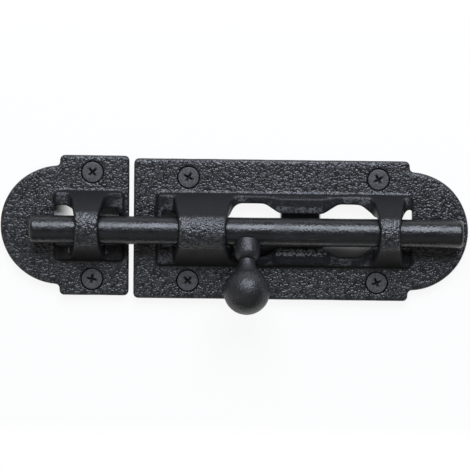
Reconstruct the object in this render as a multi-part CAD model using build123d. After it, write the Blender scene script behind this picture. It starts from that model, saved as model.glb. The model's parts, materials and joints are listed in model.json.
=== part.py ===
from build123d import *
import os
from math import acos, atan2, cos, hypot, radians, sin, tan

# Slide-bolt gate latch, lying on its back: X runs along the bolt towards its tail, Y across the plates,
# Z out of the face. The origin is the middle of the backplate's four screws, on the mounting surface.
# All lengths are in millimetres and all angles in degrees.

# Bolt
rod_radius = 6.0
rod_length = 183.8
rod_chamfer = 0.9
rod_lift = 0.7
guide_clearance = 0.45
tail_inset = 3.0

# Both cast plates
plate_thickness = 4.5
plate_width = 60.0
plate_corner_radius = 2.0
plate_edge_round = 1.2
shoulder_step = 4.6
shoulder_cove = 1.7
hump_half_width = 16.0
strap_wall = 3.2
strap_lean = 2.8
cast_edge_round = 0.8
sill_rise = 2.0
sill_end_slope = 2.0
notch_radius = 4.0
end_notch_radius = 1.6
window_corner = 5.0
hump_corner = 4.5
square_end_wall = 2.6
square_window_half_width = 8.1

# Backplate, along X from its screws
screw_spacing_x = 81.0
screw_spacing_y = 44.4
square_end_margin = 23.3
shoulder_margin = 13.4
wide_strap_start = -43.9
wide_strap_length = 19.3
locked_notch_length = 23.2
flange_length = 18.4
open_notch_length = 24.1
narrow_strap_length = 7.9
left_foot_length = 11.0
right_foot_length = 6.7
flange_drop = 3.4
flange_slope_length = 5.6
flange_half_gap = 7.4
window_half_width = 11.5
end_window_half_width = 9.5
window_margin = 1.7
wide_strap_bevel = 2.6
narrow_strap_bevel = 6.4
flange_bevel = 6.6
end_window_bevel = 3.0
end_window_wall = 0.5
end_window_corner = 1.0

# Keeper
plate_gap = 2.0
keeper_length = 29.6
keeper_offset = 1.0
keeper_clearance = 1.45
keeper_wall = 2.9
keeper_half_width = 15.4
keeper_strap_margin = 12.7
keeper_strap_length = 9.3
keeper_right_foot = 11.4
keeper_left_foot = 10.7
keeper_window_half_width = 8.8
keeper_screw_margin = 15.7
keeper_screw_spacing = 45.9

# Knob on its collar
knob_from_strap = 9.4
knob_angle = 24.0
collar_radius = 5.6
collar_straight = 9.4
collar_height = 12.4
collar_mouth_radius = 3.8
saddle_clearance = 0.08
knob_reach = 26.6
ball_radius = 9.8
neck_radius = 3.4
neck_length = 0.5
spigot_radius = 2.3
spigot_clearance = 0.05
spigot_gap = 0.4

# Wood screws
head_radius = 4.45
head_rim = 0.15
head_sink = 0.3
head_angle = 82.0
seat_clearance = 0.1
shank_radius = 2.5
shank_clearance = 0.25
thread_radius = 2.3
screw_length = 25.4
point_length = 5.0
recess_radius = 2.1
recess_slot = 1.0
recess_depth = 1.9
recess_tip_radius = 0.6
plate_screw_turns = (60.0, 30.0, 45.0, 22.0)
keeper_screw_turns = (42.0, 80.0)

# Heights and places that follow from the sizes above
axis_height = plate_thickness + rod_lift + rod_radius
sill_height = plate_thickness + sill_rise
flange_height = axis_height - flange_drop
round_end_radius = plate_width / 2 - shoulder_step
shoulder_x = screw_spacing_x / 2 + shoulder_margin
square_end_x = -screw_spacing_x / 2 - square_end_margin
round_end_x = shoulder_x + round_end_radius
wide_strap_end = wide_strap_start + wide_strap_length
flange_start = wide_strap_end + locked_notch_length
flange_end = flange_start + flange_length
narrow_strap_start = flange_end + open_notch_length
narrow_strap_end = narrow_strap_start + narrow_strap_length
hump_start = wide_strap_start - left_foot_length
hump_end = narrow_strap_end + right_foot_length
keeper_edge_x = square_end_x - plate_gap
keeper_shoulder_x = keeper_edge_x - keeper_length
keeper_strap_end = keeper_edge_x - keeper_strap_margin
keeper_strap_start = keeper_strap_end - keeper_strap_length
keeper_screw_x = keeper_edge_x - keeper_screw_margin
knob_x = wide_strap_end + knob_from_strap
flare_start = collar_height + spigot_clearance + neck_length
flare_rise = knob_reach - flare_start
neck_flare = (flare_rise**2 - ball_radius**2 + neck_radius**2) / (2 * (ball_radius - neck_radius))
rod_tail_x = round_end_x - tail_inset
rod_tip_x = rod_tail_x - rod_length
above_everything = axis_height + 4 * rod_radius
same_place = 0.01
head_slope = tan(radians(head_angle / 2))


def corners_at(shape, x=None, y=None):
    """Corner points of a flat shape at this X, at this distance from the X axis, or both."""
    found = shape.vertices()
    if x is not None:
        found = [v for v in found if abs(v.X - x) < same_place]
    if y is not None:
        found = [v for v in found if abs(abs(v.Y) - y) < same_place]
    return found


def plate_blank(edge_x, shoulder):
    """Plate with a square end at edge_x and a round end on the far side of its shoulders."""
    length = abs(shoulder - edge_x)
    body = Pos((edge_x + shoulder) / 2, 0) * Rectangle(length, plate_width)
    outline = body + Pos(shoulder, 0) * Circle(round_end_radius)
    outline = fillet(corners_at(outline, y=plate_width / 2), plate_corner_radius)
    outline = fillet(corners_at(outline, x=shoulder, y=round_end_radius), shoulder_cove)
    plate = extrude(outline, plate_thickness)
    rim = plate.faces().sort_by(Axis.Z)[-1].outer_wire().edges()
    return fillet(rim, plate_edge_round)


def hump_section(bore_radius, wall, half_width):
    """Section of the hump across the bolt: a round arch on straight sides that rise from the plate."""
    arch_radius = bore_radius + wall
    rise = axis_height - plate_thickness
    turn = acos(arch_radius / hypot(half_width, rise)) - atan2(rise, half_width)
    side_y = arch_radius * cos(turn)
    side_z = axis_height + arch_radius * sin(turn)
    sides = Polygon(
        (half_width, 0),
        (half_width, plate_thickness),
        (side_y, side_z),
        (-side_y, side_z),
        (-half_width, plate_thickness),
        (-half_width, 0),
    )
    return sides + Pos(0, axis_height) * Circle(arch_radius)


def strap_side(start, end, crest_height):
    """Side view of a strap from start to end at its crest: its flanks lean out towards the sill."""
    lean = strap_lean / (crest_height - sill_height)
    foot = lean * crest_height
    top = crest_height + rod_radius
    tuck = lean * rod_radius
    return Polygon((start - foot, 0), (end + foot, 0), (end - tuck, top), (start + tuck, top))


def flange_side(start, end):
    """Side view of a stop flange: a level tip with a slope down to the sill at each end."""
    low = start - flange_slope_length
    high = end + flange_slope_length
    tip = [(end, flange_height), (start, flange_height)]
    return Polygon((low, 0), (high, 0), (high, sill_height), *tip, (low, sill_height))


def sill_side(start, end):
    """Side view of the low sill that runs the whole length of the hump."""
    return Polygon(
        (start, 0),
        (end, 0),
        (end, plate_thickness),
        (end - sill_end_slope, sill_height),
        (start + sill_end_slope, sill_height),
        (start, plate_thickness),
    )


def is_flank_edge(edge):
    """Whether an edge of the hump stands over the sill and runs across the bolt or along a flange."""
    middle = edge @ 0.5
    along_bolt = abs((edge % 0.5).X) > 1 - same_place
    over_flange = abs(middle.Z - flange_height) < same_place
    over_sill = middle.Z > sill_height + same_place
    straight_across = edge.geom_type == GeomType.LINE and abs((edge % 0.5).Y) > 1 - same_place
    return over_sill and not straight_across and (over_flange or not along_bolt)


def hump(start, end, half_width, section, profile):
    """Solid with the arched section across the bolt, the profile along it and a foot with round corners."""
    along = Plane(origin=(0, 0, 0), x_dir=(1, 0, 0), z_dir=(0, -1, 0))
    bar = extrude(across_bolt(start) * section, end - start)
    foot = Pos((start + end) / 2, 0) * RectangleRounded(end - start, 2 * half_width, hump_corner)
    solid = bar & extrude(along * profile, plate_width / 2, both=True) & extrude(foot, above_everything)
    flanks = [e for e in solid.edges() if is_flank_edge(e)]
    return fillet(flanks, cast_edge_round)


def across_bolt(start):
    """Plane across the bolt at this X, with its own X along Y and its Y along Z."""
    return Plane(origin=(start, 0, 0), x_dir=(0, 1, 0), z_dir=(1, 0, 0))


def bolt_bore(start, end, bore_radius):
    """Round passage for the bolt."""
    return extrude(across_bolt(start) * (Pos(0, axis_height) * Circle(bore_radius)), end - start)


def open_back(start, end, bore_radius):
    """Slot behind the bolt, through the plate and as wide as the bolt's passage."""
    return extrude(across_bolt(start) * Rectangle(2 * bore_radius, 2 * axis_height), end - start)


def window(points, corner_radius):
    """Through cut beside the bolt, symmetrical about it, from the (x, half width) corners of one side."""
    loop = points + [(x, -y) for x, y in reversed(points)]
    outline = fillet(Polygon(*loop).vertices(), corner_radius)
    return extrude(outline, above_everything, both=True)


def countersink():
    """Hole for one wood screw, with its axis on Z and its mouth open above the plate."""
    mouth_radius = head_radius + seat_clearance + (head_sink + head_rim) * head_slope
    hole_radius = shank_radius + shank_clearance
    depth = (mouth_radius - hole_radius) / head_slope
    profile = Polygon(
        (0, -plate_thickness),
        (hole_radius, -plate_thickness),
        (hole_radius, plate_thickness - depth),
        (mouth_radius, plate_thickness),
        (mouth_radius, above_everything),
        (0, above_everything),
    )
    return revolve(Plane.XZ * profile, Axis.Z)


def wood_screw(turn):
    """Flat-head wood screw with a cross recess, seated in a countersink on Z and turned about it."""
    top = plate_thickness - head_sink
    cone_end = top - head_rim - (head_radius - shank_radius) / head_slope
    profile = Polygon(
        (0, top - screw_length),
        (thread_radius, top - screw_length + point_length),
        (thread_radius, 0),
        (shank_radius, 0),
        (shank_radius, cone_end),
        (head_radius, top - head_rim),
        (head_radius, top),
        (0, top),
    )
    body = revolve(Plane.XZ * profile, Axis.Z)
    half_slot = recess_slot / 2
    wing = Polygon(
        (-recess_tip_radius, top - recess_depth),
        (recess_tip_radius, top - recess_depth),
        (recess_radius, top),
        (-recess_radius, top),
    )
    bar = extrude(Plane.XZ * wing, half_slot, both=True)
    return Rot(Z=turn) * (body - bar - Rot(Z=90) * bar)


def make_backplate(screw_places):
    """Backplate casting: plate, hump with two straps and two stop flanges, windows and screw holes."""
    bore_radius = rod_radius + guide_clearance
    section = hump_section(bore_radius, strap_wall, hump_half_width)
    profile = sill_side(hump_start, hump_end)
    profile += flange_side(flange_start, flange_end)
    crest_height = axis_height + bore_radius + strap_wall
    profile += strap_side(wide_strap_start, wide_strap_end, crest_height)
    profile += strap_side(narrow_strap_start, narrow_strap_end, crest_height)
    profile = fillet(sill_corners(profile, hump_start, wide_strap_start), end_notch_radius)
    flange_foot_start = flange_start - flange_slope_length
    flange_foot_end = flange_end + flange_slope_length
    profile = fillet(sill_corners(profile, wide_strap_end, flange_foot_start), notch_radius)
    profile = fillet(sill_corners(profile, flange_foot_end, narrow_strap_start), notch_radius)
    profile = fillet(sill_corners(profile, narrow_strap_end, hump_end), end_notch_radius)
    casting = plate_blank(square_end_x, shoulder_x)
    casting += hump(hump_start, hump_end, hump_half_width, section, profile)
    bore_start = hump_start + end_window_wall
    bore_end = hump_end - end_window_wall
    slot_start = bore_start + square_end_wall
    casting -= bolt_bore(bore_start, bore_end, bore_radius)
    casting -= open_back(slot_start, bore_end, bore_radius)
    locked_side = wide_strap_end + window_margin
    open_side = narrow_strap_start - window_margin
    corners = [
        (locked_side, bore_radius),
        (locked_side + wide_strap_bevel, window_half_width),
        (flange_start - flange_bevel, window_half_width),
        (flange_start, flange_half_gap),
        (flange_end, flange_half_gap),
        (flange_end + flange_bevel, window_half_width),
        (open_side - narrow_strap_bevel, window_half_width),
        (open_side, bore_radius),
    ]
    casting -= window(corners, window_corner)
    casting -= end_window(wide_strap_start, slot_start, bore_radius, square_window_half_width)
    casting -= end_window(narrow_strap_end, bore_end, bore_radius, end_window_half_width)
    for x, y in screw_places:
        casting -= Pos(x, y, 0) * countersink()
    return casting


def end_window(strap_edge, far_edge, bore_radius, half_width):
    """Window between a strap and the far end of the slot on its outer side."""
    way = 1 if far_edge > strap_edge else -1
    near = strap_edge + way * window_margin
    middle = near + way * min(end_window_bevel, abs(far_edge - near) / 2)
    corners = [(near, bore_radius), (middle, half_width), (far_edge, half_width)]
    return window(corners, end_window_corner)


def sill_corners(profile, start, end):
    """Side-view corners between the sill and what stands on it, from start to end."""
    low = start + sill_end_slope + same_place
    high = end - sill_end_slope - same_place
    return [v for v in profile.vertices() if abs(v.Y - sill_height) < same_place and low < v.X < high]


def make_keeper(screw_places):
    """Keeper casting: plate with one strap and a window each side of it, and two screw holes."""
    bore_radius = rod_radius + keeper_clearance
    start = keeper_strap_start - keeper_left_foot
    end = keeper_strap_end + keeper_right_foot
    section = hump_section(bore_radius, keeper_wall, keeper_half_width)
    crest_height = axis_height + bore_radius + keeper_wall
    profile = sill_side(start, end) + strap_side(keeper_strap_start, keeper_strap_end, crest_height)
    profile = fillet(sill_corners(profile, start, end), notch_radius)
    casting = plate_blank(keeper_edge_x, keeper_shoulder_x)
    casting += hump(start, end, keeper_half_width, section, profile)
    bore_start = start + end_window_wall
    bore_end = end - end_window_wall
    slot_end = bore_end - square_end_wall
    casting -= bolt_bore(bore_start, bore_end, bore_radius)
    casting -= open_back(bore_start, slot_end, bore_radius)
    casting -= end_window(keeper_strap_start, bore_start, bore_radius, keeper_window_half_width)
    casting -= end_window(keeper_strap_end, slot_end, bore_radius, square_window_half_width)
    for x, y in screw_places:
        casting -= Pos(x, y, 0) * countersink()
    return Pos(0, keeper_offset, 0) * casting


def make_bolt_rod():
    """Round bolt with a chamfer at each end."""
    rod = Rot(Y=90) * Cylinder(rod_radius, rod_length)
    rod = chamfer(rod.edges().filter_by(GeomType.CIRCLE), rod_chamfer)
    return Pos((rod_tip_x + rod_tail_x) / 2, 0, axis_height) * rod


def on_bolt(piece):
    """Set a piece that stands along Z from the bolt's axis at the knob's place and angle."""
    return Pos(knob_x, 0, axis_height) * Rot(X=90 - knob_angle) * piece


def make_collar():
    """Collar with a domed shoulder, a saddle that hugs the bolt and a bore for the knob's spigot."""
    bore = spigot_radius + spigot_clearance
    with BuildSketch(Plane.XZ) as half:
        with BuildLine():
            Polyline((bore, 0), (collar_radius, 0), (collar_radius, collar_straight))
            dome_end = (collar_mouth_radius, collar_height)
            TangentArc((collar_radius, collar_straight), dome_end, tangent=(0, 1))
            Polyline(dome_end, (bore, collar_height), (bore, 0))
        make_face()
    saddle = Rot(Y=90) * Cylinder(rod_radius + saddle_clearance, 4 * collar_radius)
    return revolve(half.sketch, Axis.Z) - saddle


def make_knob():
    """Ball knob: a spigot, a thin neck and a hollow sweep into the ball, turned in one piece."""
    spigot_end = rod_radius + spigot_gap
    shoulder = collar_height + spigot_clearance
    across = neck_radius + neck_flare
    reach = ball_radius + neck_flare
    share = ball_radius / reach
    ball_start = (across * share, knob_reach - flare_rise * share)
    with BuildSketch(Plane.XZ) as half:
        with BuildLine():
            Polyline((0, spigot_end), (spigot_radius, spigot_end), (spigot_radius, shoulder))
            Polyline((spigot_radius, shoulder), (neck_radius, shoulder), (neck_radius, flare_start))
            RadiusArc((neck_radius, flare_start), ball_start, -neck_flare)
            top = (0, knob_reach + ball_radius)
            ThreePointArc(ball_start, (ball_radius, knob_reach), top)
            Line(top, (0, spigot_end))
        make_face()
    return revolve(half.sketch, Axis.Z)


half_x = screw_spacing_x / 2
half_y = screw_spacing_y / 2
plate_screw_places = [(-half_x, half_y), (half_x, half_y), (-half_x, -half_y), (half_x, -half_y)]
keeper_screw_places = [(keeper_screw_x, side * keeper_screw_spacing / 2) for side in (1, -1)]


def screw_group(places, turns, offset=0.0):
    """The screws of one casting, each turned its own way."""
    screws = [Pos(x, y + offset, 0) * wood_screw(turn) for (x, y), turn in zip(places, turns)]
    return Compound(children=screws)


nodes = {
    "backplate": make_backplate(plate_screw_places),
    "keeper": make_keeper(keeper_screw_places),
    "bolt_rod": make_bolt_rod(),
    "knob_collar": on_bolt(make_collar()),
    "knob": on_bolt(make_knob()),
    "plate_screws": screw_group(plate_screw_places, plate_screw_turns),
    "keeper_screws": screw_group(keeper_screw_places, keeper_screw_turns, keeper_offset),
}

os.makedirs("parts", exist_ok=True)
for name, shape in nodes.items():
    export_step(shape, f"parts/{name}.step")
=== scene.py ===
"""Looks of a cast slide-bolt gate latch: castings, bolt, ball knob and wood screws on white paper.

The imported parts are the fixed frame. X runs along the bolt, Y across the plates and Z out of the face.
Every length is in metres and every angle in radians unless its name says otherwise.
"""

import json
import logging
import math
from dataclasses import asdict, dataclass, field, fields, replace
from enum import Enum
from functools import reduce

import bmesh
import bpy
from mathutils import Matrix, Vector


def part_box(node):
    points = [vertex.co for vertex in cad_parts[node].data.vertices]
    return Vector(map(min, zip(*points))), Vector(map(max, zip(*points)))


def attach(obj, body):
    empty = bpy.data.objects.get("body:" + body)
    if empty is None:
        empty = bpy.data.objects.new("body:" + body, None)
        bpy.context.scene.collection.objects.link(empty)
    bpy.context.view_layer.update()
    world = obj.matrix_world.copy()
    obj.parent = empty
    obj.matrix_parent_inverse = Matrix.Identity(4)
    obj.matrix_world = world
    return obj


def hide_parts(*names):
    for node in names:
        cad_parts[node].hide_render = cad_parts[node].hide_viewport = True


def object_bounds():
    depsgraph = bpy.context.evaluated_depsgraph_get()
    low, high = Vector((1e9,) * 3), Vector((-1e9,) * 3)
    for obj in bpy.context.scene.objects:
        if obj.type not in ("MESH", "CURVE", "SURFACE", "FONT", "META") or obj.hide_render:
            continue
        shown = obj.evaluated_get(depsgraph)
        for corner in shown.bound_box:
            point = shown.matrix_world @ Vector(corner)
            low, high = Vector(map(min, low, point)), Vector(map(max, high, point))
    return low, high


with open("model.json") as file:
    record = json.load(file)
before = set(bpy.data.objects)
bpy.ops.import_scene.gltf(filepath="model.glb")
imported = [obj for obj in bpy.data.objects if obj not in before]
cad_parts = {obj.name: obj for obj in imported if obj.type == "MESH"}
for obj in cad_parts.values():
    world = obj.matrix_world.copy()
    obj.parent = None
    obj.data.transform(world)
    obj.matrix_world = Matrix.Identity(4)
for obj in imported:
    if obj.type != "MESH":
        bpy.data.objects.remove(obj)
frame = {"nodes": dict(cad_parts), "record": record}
CAD_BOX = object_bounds()
LOG = logging.getLogger("gate_latch")
MM = 0.001
WELD = 0.002 * MM
EDGE_SMOOTHING = 0.5

Pair = tuple[float, float]
Triple = tuple[float, float, float]
Profile = list[Pair]
# A feed is a socket to link from, or a plain value.
Feed = object
Inputs = dict[str | int, Feed]
Socket = bpy.types.NodeSocket
Sockets = bpy.types.bpy_prop_collection
Tree = bpy.types.NodeTree
Piece = bpy.types.Object
Material = bpy.types.Material

WHITE: Triple = (1.0, 1.0, 1.0)


class Body(Enum):
    """Moving bodies that the pieces ride on."""

    BASE = "base"
    BOLT = "bolt"
    KNOB = "knob"


class Slot(Enum):
    """Material slots of the record."""

    CASTING = "black_casting"
    BAR = "black_bar"
    KNOB = "black_knob"
    SCREW = "dark_screw"


class Kind(Enum):
    """Socket types of node groups."""

    GEOMETRY = "NodeSocketGeometry"
    NUMBER = "NodeSocketFloat"
    VECTOR = "NodeSocketVector"
    MATERIAL = "NodeSocketMaterial"
    OBJECT = "NodeSocketObject"


class Mark(Enum):
    """Point attributes that the cast skin leaves for the finishes."""

    HAMMERED = "hammered"
    RELIEF = "relief"
    SILL = "sill"


def opaque(tone: Triple) -> tuple[float, float, float, float]:
    """Opaque colour of a shader socket."""
    return (*tone, 1.0)


class Sketch:
    """Adds and links nodes in one node tree."""

    PEBBLE_SOFTNESS = 0.6

    def __init__(self, tree: Tree) -> None:
        """Work in this tree."""
        self.tree = tree

    def feed(self, socket: Socket, value: Feed) -> None:
        """Link a socket to an input, or set the input's own value.

        Args:
            socket: Input socket to feed.
            value: Output socket to link from, or a plain value.
        """
        if isinstance(value, Socket):
            self.tree.links.new(value, socket)
        else:
            socket.default_value = value

    def add(self, kind: str, inputs: Inputs | None = None, **settings: object) -> bpy.types.Node:
        """Add one node.

        Args:
            kind: Node type name.
            inputs: Values or sockets by input name or number.
            settings: Node properties by name.

        Returns:
            The new node.
        """
        node = self.tree.nodes.new(kind)
        for name, value in settings.items():
            setattr(node, name, value)
        for name, value in (inputs or {}).items():
            self.feed(node.inputs[name], value)
        return node

    def math(self, operation: str, *values: Feed) -> Socket:
        """Arithmetic on one, two or three numbers."""
        return self.add("ShaderNodeMath", dict(enumerate(values)), operation=operation).outputs[0]

    def product(self, *values: Feed) -> Socket:
        """Two or more numbers multiplied in turn."""
        return reduce(lambda total, value: self.math("MULTIPLY", total, value), values)

    def vector(self, operation: str, *values: Feed) -> Socket:
        """Arithmetic on vectors.

        Args:
            operation: Name of the operation; SCALE takes a vector and a number, LENGTH gives a number.
            values: Vectors, numbers or sockets.

        Returns:
            The result's socket.
        """
        names = (0, "Scale") if operation == "SCALE" else range(len(values))
        node = self.add("ShaderNodeVectorMath", dict(zip(names, values)), operation=operation)
        return node.outputs["Value" if operation == "LENGTH" else "Vector"]

    def ease(self, value: Feed, low: float, high: float, start: Feed = 0.0, end: Feed = 1.0) -> Socket:
        """Smooth step of a number from start to end.

        Args:
            value: Number to read.
            low: Number at which the step starts.
            high: Number at which it ends.
            start: Result up to low.
            end: Result from high on.

        Returns:
            The result's socket.
        """
        names = ("Value", "From Min", "From Max", "To Min", "To Max")
        inputs = dict(zip(names, (value, low, high, start, end)))
        return self.add("ShaderNodeMapRange", inputs, interpolation_type="SMOOTHSTEP").outputs[0]

    def between(self, share: Feed, start: float, end: float) -> Socket:
        """Number that eases from start to end as a share goes from 0 to 1."""
        return self.ease(share, 0.0, 1.0, start, end)

    def blend(self, factor: Feed, first: Feed, second: Feed) -> Socket:
        """Colour between two colours.

        Args:
            factor: Share of the second colour.
            first: Colour at 0, as three numbers or a socket.
            second: Colour at 1, given in the same way.

        Returns:
            The colour's socket.
        """
        tones = [opaque(tone) if isinstance(tone, tuple) else tone for tone in (first, second)]
        return self.add("ShaderNodeMix", {0: factor, 6: tones[0], 7: tones[1]}, data_type="RGBA").outputs[2]

    def noise(self, place: Feed, scale: Feed, detail: float, seed: Feed) -> Socket:
        """Cloudy noise from 0 to 1 with a seed of its own.

        Args:
            place: Coordinates.
            scale: Features for each unit of length.
            detail: Number of finer layers.
            seed: Fixed seed.

        Returns:
            The noise's number socket.
        """
        inputs = {"Vector": place, "W": seed, "Scale": scale, "Detail": detail}
        return self.add("ShaderNodeTexNoise", inputs, noise_dimensions="4D").outputs[0]

    def cells(self, place: Feed, scale: Feed) -> Socket:
        """Rounded pebbles: distance to the nearest pebble's middle.

        Args:
            place: Coordinates.
            scale: Pebbles for each unit of length.

        Returns:
            The distance's socket.
        """
        inputs = {"Vector": place, "Scale": scale, "Smoothness": self.PEBBLE_SOFTNESS}
        return self.add("ShaderNodeTexVoronoi", inputs, feature="SMOOTH_F1").outputs["Distance"]

    def mark(self, name: Mark) -> Socket:
        """Number that the cast skin left on the points."""
        return self.add("ShaderNodeAttribute", attribute_name=name.value).outputs["Fac"]

    def here(self) -> Socket:
        """Place of the shaded point on its object."""
        return self.add("ShaderNodeTexCoord").outputs["Object"]

    def parts(self, vector: Feed) -> Sockets:
        """X, Y and Z of a vector."""
        return self.add("ShaderNodeSeparateXYZ", {"Vector": vector}).outputs


def open_group(name: str, inputs: dict[str, Feed], *outputs: str) -> tuple[Sketch, Sockets]:
    """Make a node group with named inputs and outputs.

    Args:
        name: Name of the group.
        inputs: Default number or vector of each input by name, or the kind of an input that has none.
        outputs: Names of the outputs: Geometry for a geometry node group, else numbers of a shader group.

    Returns:
        A sketch of the group, and the sockets that give its inputs.
    """
    shapes = "Geometry" in outputs
    tree = bpy.data.node_groups.new(name, "GeometryNodeTree" if shapes else "ShaderNodeTree")
    for label, default in inputs.items():
        plain = Kind.VECTOR if isinstance(default, tuple) else Kind.NUMBER
        kind = default if isinstance(default, Kind) else plain
        item = tree.interface.new_socket(label, in_out="INPUT", socket_type=kind.value)
        if kind is plain:
            item.default_value = default
    for label in outputs:
        kind = Kind.GEOMETRY if shapes else Kind.NUMBER
        tree.interface.new_socket(label, in_out="OUTPUT", socket_type=kind.value)
    s = Sketch(tree)
    return s, s.add("NodeGroupInput").outputs


def close_dressed(s: Sketch, geometry: Feed, finish: Feed) -> None:
    """End a geometry node group with one finish on all that it made.

    Args:
        s: Sketch of the group.
        geometry: Socket of the geometry.
        finish: Socket of the material.
    """
    whole = s.add("GeometryNodeRealizeInstances", {"Geometry": geometry}).outputs[0]
    dressed = s.add("GeometryNodeSetMaterial", {"Geometry": whole, "Material": finish}).outputs[0]
    s.add("NodeGroupOutput", {"Geometry": dressed})


def new_object(name: str, data: bpy.types.ID) -> Piece:
    """Put a mesh, lamp or camera in the scene as an object at the origin.

    Args:
        name: Name of the new object.
        data: What it shows.

    Returns:
        The new object.
    """
    made = bpy.data.objects.new(name, data)
    bpy.context.scene.collection.objects.link(made)
    return made


def settle(piece: Piece) -> Piece:
    """Turn a piece's modifiers into a plain mesh.

    Args:
        piece: Object with live modifiers.

    Returns:
        The same object, with the result as its mesh and no modifiers.
    """
    bpy.context.view_layer.update()
    graph = bpy.context.evaluated_depsgraph_get()
    mesh = bpy.data.meshes.new_from_object(piece.evaluated_get(graph), depsgraph=graph)
    piece.modifiers.clear()
    piece.data = mesh
    mesh.name = piece.name
    return piece


def run_tree(piece: Piece, tree: Tree, values: dict[str, Feed]) -> Piece:
    """Run a geometry node group on a piece and keep the result as its mesh.

    Args:
        piece: Object to work on.
        tree: Geometry node group.
        values: Values of its inputs by name, where they differ from the defaults.

    Returns:
        The piece with a plain mesh.
    """
    modifier = piece.modifiers.new(tree.name, "NODES")
    modifier.node_group = tree
    for item in tree.interface.items_tree:
        if item.item_type == "SOCKET" and item.in_out == "INPUT" and item.name in values:
            modifier[item.identifier] = values[item.name]
    return settle(piece)


def to_object(solid: bmesh.types.BMesh, name: str) -> Piece:
    """Turn a finished mesh under construction into a smooth-shaded object.

    Args:
        solid: Mesh under construction, which is freed.
        name: Name of the new object.

    Returns:
        The new object.
    """
    for face in solid.faces:
        face.smooth = True
    mesh = bpy.data.meshes.new(name)
    solid.to_mesh(mesh)
    solid.free()
    return new_object(name, mesh)


def merged_copy(node: str, name: str) -> Piece:
    """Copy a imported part's mesh and join its loose triangles.

    Args:
        node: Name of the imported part.
        name: Name of the new object.

    Returns:
        The new object.
    """
    solid = bmesh.new()
    solid.from_mesh(frame["nodes"][node].data)
    bmesh.ops.remove_doubles(solid, verts=solid.verts, dist=WELD)
    return to_object(solid, name)


def turned(name: str, profile: Profile, segments: int, laid: Matrix) -> Piece:
    """Turn an open profile about Z into a closed solid and lay it in place.

    Args:
        name: Name of the new object.
        profile: (radius, height) points, from the axis and back to it.
        segments: Number of steps round the axis.
        laid: Turn and place of the solid.

    Returns:
        The new object, with its faces pointing outwards.
    """
    solid = bmesh.new()
    points = [solid.verts.new((radius, 0, height)) for radius, height in profile]
    edges = [solid.edges.new(pair) for pair in zip(points, points[1:])]
    whole_turn = {"axis": (0, 0, 1), "cent": (0, 0, 0), "angle": math.tau, "steps": segments}
    bmesh.ops.spin(solid, geom=points + edges, use_merge=True, **whole_turn)
    bmesh.ops.remove_doubles(solid, verts=solid.verts, dist=WELD)
    bmesh.ops.recalc_face_normals(solid, faces=solid.faces)
    bmesh.ops.transform(solid, matrix=laid, verts=solid.verts)
    return to_object(solid, name)


def even_mesh(piece: Piece, voxel: float, softening: int) -> Piece:
    """Rebuild a piece with small even faces and soft edges.

    Args:
        piece: Closed object.
        voxel: Size of the new faces.
        softening: Number of smoothing passes.

    Returns:
        The piece with its new mesh.
    """
    remesh = piece.modifiers.new("even_faces", "REMESH")
    remesh.mode = "VOXEL"
    remesh.voxel_size = voxel
    remesh.use_smooth_shade = True
    soften = piece.modifiers.new("soft_edges", "SMOOTH")
    soften.factor = EDGE_SMOOTHING
    soften.iterations = softening
    return settle(piece)


def hand_over(piece: Piece, node: str, body: Body) -> None:
    """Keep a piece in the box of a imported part, and let it stand for that part on its body.

    Args:
        piece: Finished object.
        node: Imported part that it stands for.
        body: Body that it rides on.
    """
    low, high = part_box(node)
    for point in piece.data.vertices:
        point.co = [min(max(value, a), b) for value, a, b in zip(point.co, low, high)]
    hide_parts(node)
    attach(piece, body.value)
    triangles = sum(len(face.vertices) - 2 for face in piece.data.polygons)
    LOG.info("%s stands for %s on %s, %d triangles", piece.name, node, body.value, triangles)


def half_spacing(mount: dict) -> Pair:
    """Half the distance between a mount's screws along X, 0 for a single row, and along Y."""
    spacing = mount["dims"]
    return spacing.get("spacing_x_mm", 0.0) / 2 * MM, spacing["spacing_y_mm"] / 2 * MM


@dataclass(frozen=True)
class SkinSizes:
    """How a foundry or coated surface departs from the smooth form.

    The pebbles lie on the faces below the plate height and over the crest height. Rough ledges are level
    faces about the sill height, and about the tip height within the tip reach.
    """

    pebble: float
    pebble_depth: float
    wave: float
    wave_depth: float
    stretch: float = 1.0
    plate: float = 1.0
    sill: float = 1.0
    tip: float = 1.0
    tip_reach: float = 0.0
    crest: float = 1.0
    seed: float = 0.0


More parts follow.
